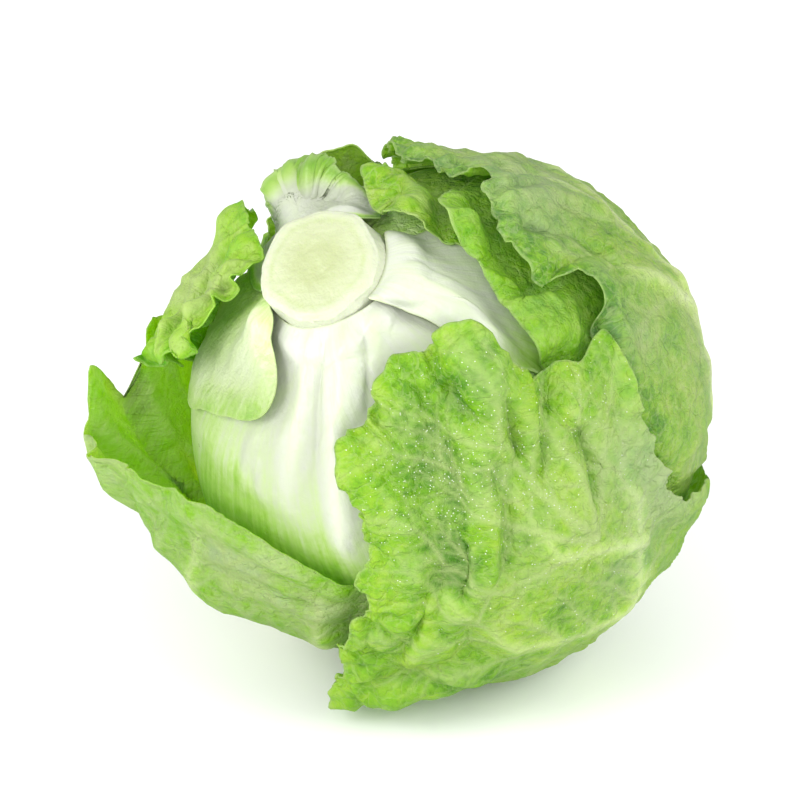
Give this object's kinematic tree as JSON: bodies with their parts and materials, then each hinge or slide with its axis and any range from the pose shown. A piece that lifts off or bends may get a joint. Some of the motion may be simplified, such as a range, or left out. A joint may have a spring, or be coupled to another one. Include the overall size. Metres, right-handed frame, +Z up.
{
  "type": "head of lettuce",
  "caption": "Round head of crisp lettuce with its cut stem up, lying on a small flat spot, with pale ribbed inner leaves and waved green outer leaves.",
  "frame": {"origin": "middle of the flat spot that the head rests on, at table height", "axes": "+Z up; the cut stem leans from up towards -X and -Y; -Y is the side with the broad white rib, +X the side away from the loose leaf"},
  "size_m": [0.1868, 0.1616, 0.1596],
  "materials": {
    "stem": "moist, slightly glossy cut plant tissue, cream green",
    "heart": "packed pale green leaf, satin",
    "leaf_front_rib": "white ribbed leaf turning pale green, satin, lets light through",
    "leaf_right_rib": "white leaf with a grey green rib, satin, lets light through",
    "leaf_left_pale": "pale green leaf with a greener edge, satin",
    "leaf_upper_left": "white leaf with a frilled green rim, satin",
    "leaf_top_crumpled": "crumpled green leaf, satin",
    "leaf_right_inner": "bright green leaf, satin",
    "leaf_back": "green leaf with a pale rib, satin",
    "leaf_right_outer": "dull green blistered leaf with fine pale veins, satin",
    "leaf_left_frill": "bright green ruffled leaf edge, satin",
    "leaf_loose_left": "bright green inside and paler outside, branching pale veins, satin",
    "leaf_front_outer": "green blistered leaf with creases, fine veins and tiny drops of water, satin"
  },
  "bodies": {
    "root": {"stem": "stem", "heart": "heart", "leaf_front_rib": "leaf_front_rib", "leaf_right_rib": "leaf_right_rib", "leaf_left_pale": "leaf_left_pale", "leaf_upper_left": "leaf_upper_left", "leaf_top_crumpled": "leaf_top_crumpled", "leaf_right_inner": "leaf_right_inner", "leaf_back": "leaf_back", "leaf_right_outer": "leaf_right_outer", "leaf_left_frill": "leaf_left_frill", "leaf_loose_left": "leaf_loose_left", "leaf_front_outer": "leaf_front_outer"}
  },
  "joints": []
}
